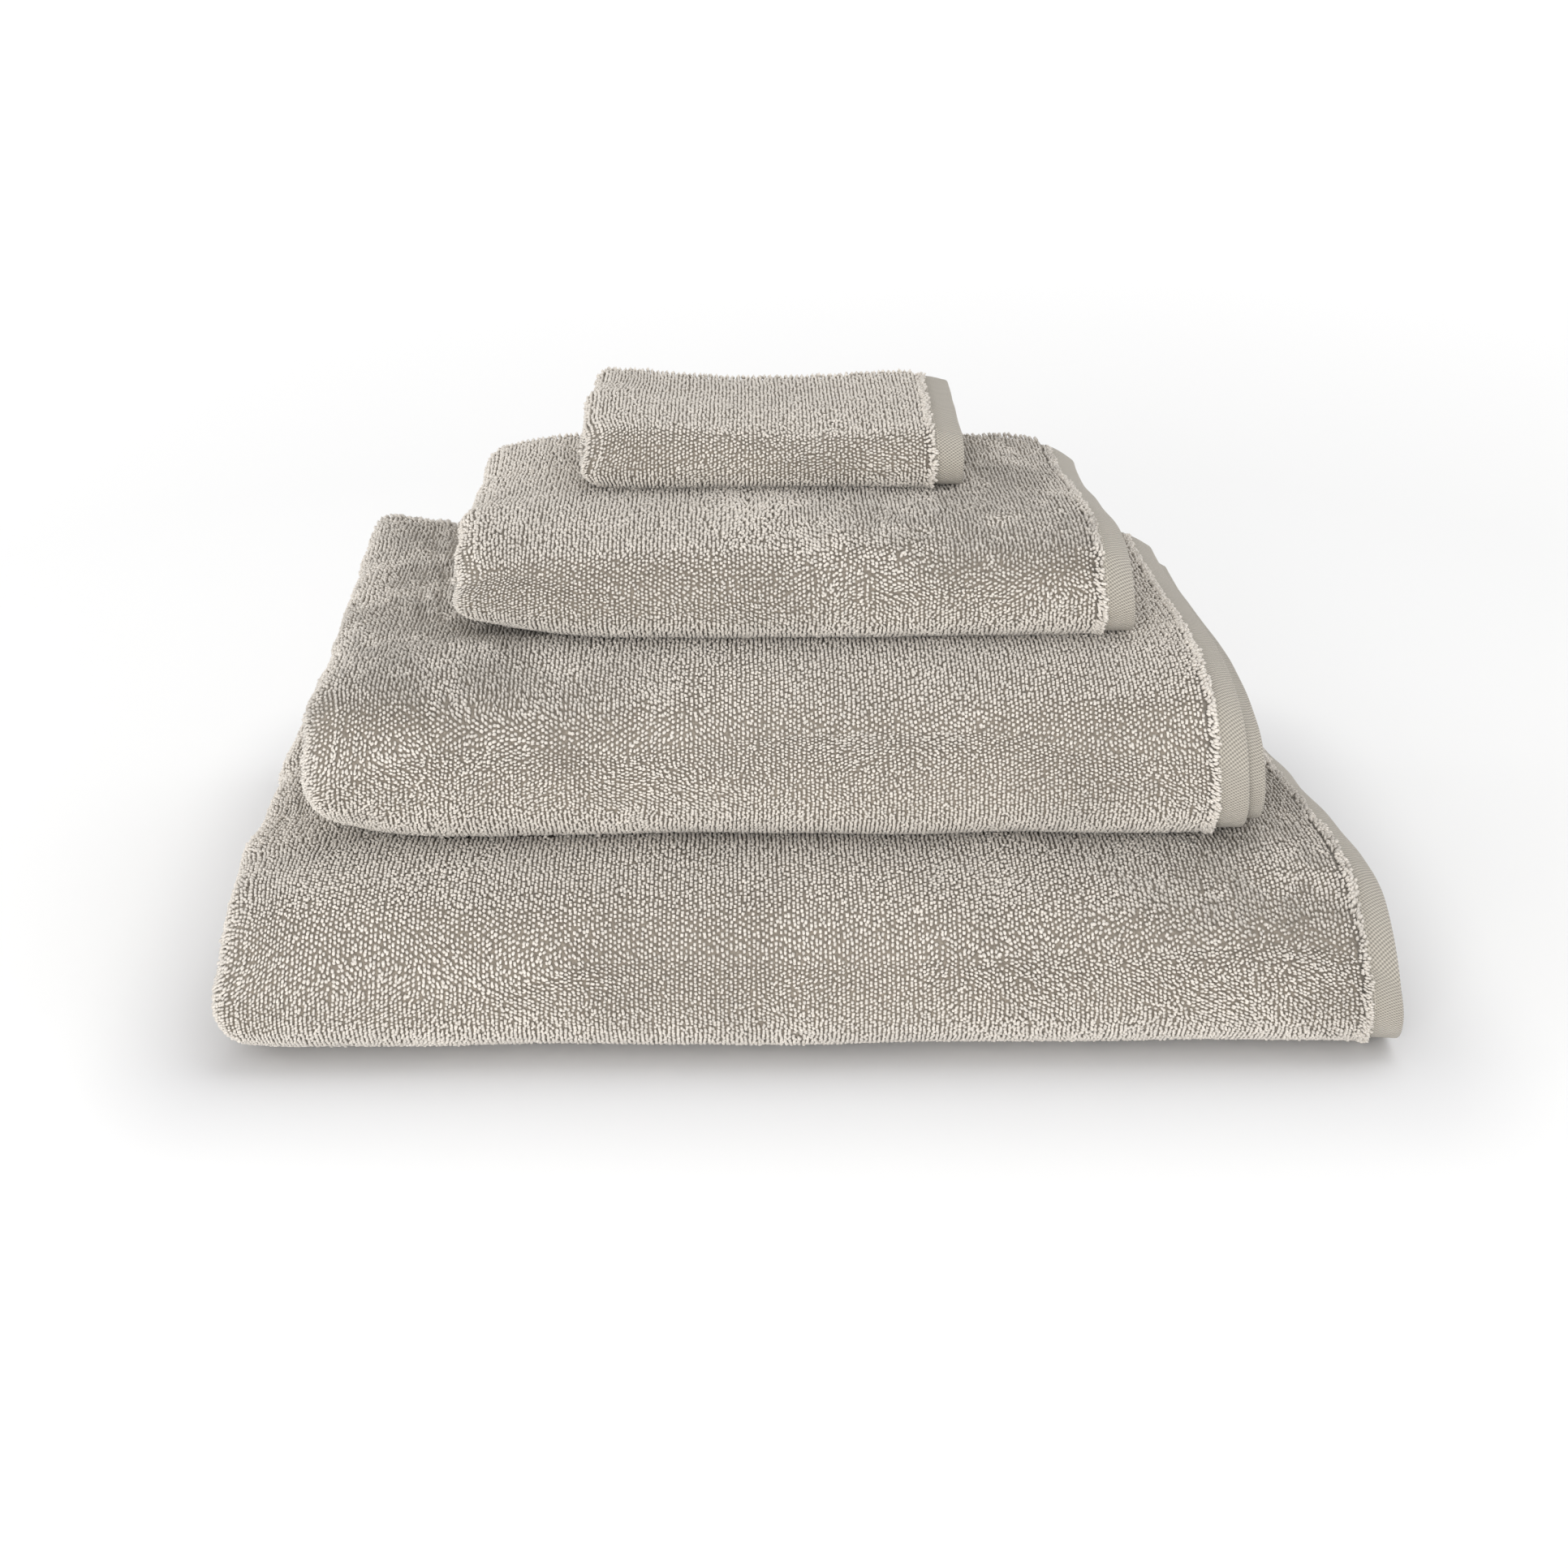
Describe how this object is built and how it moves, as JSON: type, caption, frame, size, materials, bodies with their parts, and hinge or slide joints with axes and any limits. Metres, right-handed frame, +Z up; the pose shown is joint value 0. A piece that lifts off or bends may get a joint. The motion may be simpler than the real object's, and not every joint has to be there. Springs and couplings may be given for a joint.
{
  "type": "bath towel set",
  "caption": "Stack of folded terry towels in graded sizes: bath sheet, bath towel, hand towel and face cloth, with flat-woven end borders.",
  "frame": {"origin": "middle of the stack's footprint, on the surface that it stands on", "axes": "+Z up; +X along the folded length, towards the woven end borders; the big rounded folds face -Y"},
  "size_m": [0.4314, 0.306, 0.1857],
  "materials": {
    "terry": "warm stone cotton terry, looped pile on both faces",
    "end_border": "flat-woven bird's-eye cotton border, matte",
    "side_hem": "turned and sewn flat cotton hem, matte",
    "thread": "cotton sewing thread, matte"
  },
  "bodies": {
    "bath_sheet": {"bath_sheet_terry": "terry", "bath_sheet_outer_end_border": "end_border", "bath_sheet_inner_end_border": "end_border", "bath_sheet_lower_side_hem": "side_hem", "bath_sheet_inner_side_hem": "side_hem", "bath_sheet_end_hem_thread": "thread", "bath_sheet_side_hem_thread": "thread"},
    "bath_towel": {"bath_towel_terry": "terry", "bath_towel_outer_end_border": "end_border", "bath_towel_inner_end_border": "end_border", "bath_towel_lower_side_hem": "side_hem", "bath_towel_inner_side_hem": "side_hem", "bath_towel_end_hem_thread": "thread", "bath_towel_side_hem_thread": "thread"},
    "hand_towel": {"hand_towel_terry": "terry", "hand_towel_outer_end_border": "end_border", "hand_towel_inner_end_border": "end_border", "hand_towel_lower_side_hem": "side_hem", "hand_towel_inner_side_hem": "side_hem", "hand_towel_end_hem_thread": "thread", "hand_towel_side_hem_thread": "thread"},
    "face_cloth": {"face_cloth_terry": "terry", "face_cloth_outer_end_border": "end_border", "face_cloth_inner_end_border": "end_border", "face_cloth_lower_side_hem": "side_hem", "face_cloth_inner_side_hem": "side_hem", "face_cloth_end_hem_thread": "thread", "face_cloth_side_hem_thread": "thread"}
  },
  "joints": [
    {"name": "bath_towel_lift", "type": "slide", "parent": "bath_sheet", "child": "bath_towel", "axis": [0, 0, 1], "range_m": [0, 0.15]},
    {"name": "hand_towel_lift", "type": "slide", "parent": "bath_towel", "child": "hand_towel", "axis": [0, 0, 1], "range_m": [0, 0.15]},
    {"name": "face_cloth_lift", "type": "slide", "parent": "hand_towel", "child": "face_cloth", "axis": [0, 0, 1], "range_m": [0, 0.15]}
  ]
}
